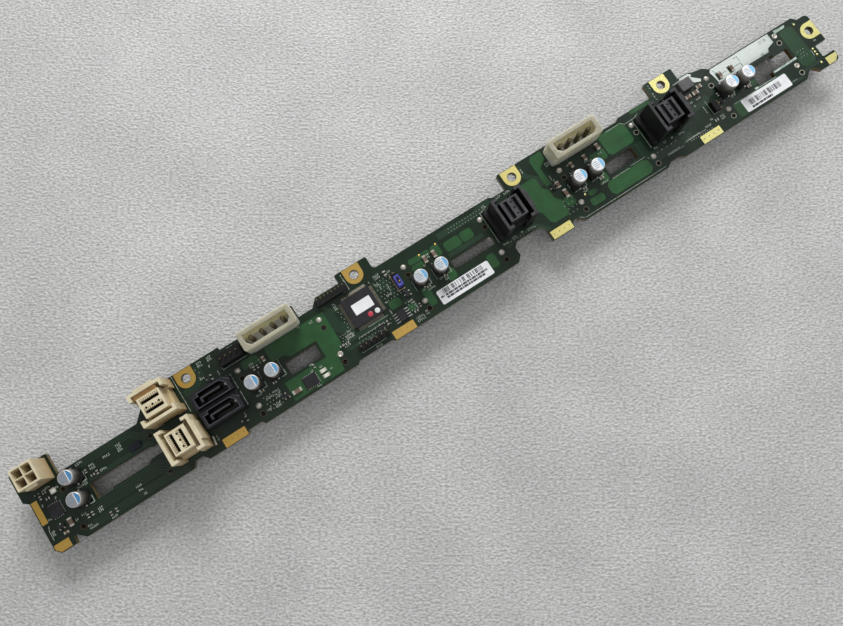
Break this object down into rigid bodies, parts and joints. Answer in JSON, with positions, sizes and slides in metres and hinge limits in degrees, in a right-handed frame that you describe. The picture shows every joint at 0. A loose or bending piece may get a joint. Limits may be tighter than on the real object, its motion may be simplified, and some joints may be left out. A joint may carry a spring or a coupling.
{
  "type": "drive backplane board",
  "caption": "Long narrow drive backplane board, component side up, with cable connectors, power headers and cylindrical capacitors above, drive receptacles below.",
  "frame": {"origin": "under the middle of the board, on the plane of the drive receptacles' mating faces", "axes": "+X along the board, +Y towards the edge with the screw tabs, +Z out of the component side"},
  "size_m": [0.4142, 0.0388, 0.0264],
  "materials": {
    "green_laminate": "satin solder mask over glass laminate",
    "gold_pad": "gold flash over copper",
    "black_moulding": "fine matt",
    "grey_black_moulding": "fine matt",
    "cream_moulding": "fine matt",
    "ivory_moulding": "fine matt",
    "spring_contact": "gold flash",
    "tinned_metal": "tin plate and solder",
    "can_aluminium": "drawn and brushed",
    "chip_moulding": "fine matt",
    "ceramic_body": "fired ceramic",
    "resistor_body": "lacquered",
    "lamp_body": "clear over white",
    "label_paper": "matt paper",
    "blue_cap": "moulded",
    "inductor_body": "pressed powder"
  },
  "bodies": {
    "root": {"circuit_board": "green_laminate", "ground_pads": "gold_pad", "board_locks": "tinned_metal", "power_header": "cream_moulding", "power_header_pins": "tinned_metal", "disk_power_header_1": "ivory_moulding", "disk_power_header_2": "ivory_moulding", "disk_power_pins_1": "tinned_metal", "disk_power_pins_2": "tinned_metal", "pale_link_1": "cream_moulding", "pale_link_2": "cream_moulding", "pale_link_1_contacts": "spring_contact", "pale_link_2_contacts": "spring_contact", "dark_link_1": "black_moulding", "dark_link_2": "black_moulding", "dark_link_1_contacts": "spring_contact", "dark_link_2_contacts": "spring_contact", "serial_socket": "grey_black_moulding", "serial_contacts": "spring_contact", "capacitor_bases": "black_moulding", "capacitor_cans": "can_aluminium", "controller_chip": "chip_moulding", "controller_leads": "tinned_metal", "memory_chip": "chip_moulding", "memory_leads": "tinned_metal", "jumper_headers": "black_moulding", "header_pins": "tinned_metal", "jumper_cap": "blue_cap", "service_header": "black_moulding", "edge_header": "black_moulding", "ceramic_capacitors": "ceramic_body", "chip_resistors": "resistor_body", "transistors": "chip_moulding", "indicator_lights": "lamp_body", "paper_labels": "label_paper", "power_switch_chip": "chip_moulding", "regulator_chip": "chip_moulding", "logic_chip": "chip_moulding", "power_inductor": "inductor_body", "fan_header": "black_moulding", "flash_receptacle_1_upper": "black_moulding", "flash_contacts_1_upper": "spring_contact", "flash_receptacle_1_lower": "black_moulding", "flash_contacts_1_lower": "spring_contact", "drive_receptacle_2_upper": "black_moulding", "drive_contacts_2_upper": "spring_contact", "drive_receptacle_2_lower": "black_moulding", "drive_contacts_2_lower": "spring_contact", "drive_receptacle_3_upper": "black_moulding", "drive_contacts_3_upper": "spring_contact", "drive_receptacle_3_lower": "black_moulding", "drive_contacts_3_lower": "spring_contact", "drive_receptacle_4_upper": "black_moulding", "drive_contacts_4_upper": "spring_contact", "drive_receptacle_4_lower": "black_moulding", "drive_contacts_4_lower": "spring_contact", "drive_receptacle_5_upper": "black_moulding", "drive_contacts_5_upper": "spring_contact", "drive_receptacle_5_lower": "black_moulding", "drive_contacts_5_lower": "spring_contact"}
  },
  "joints": []
}
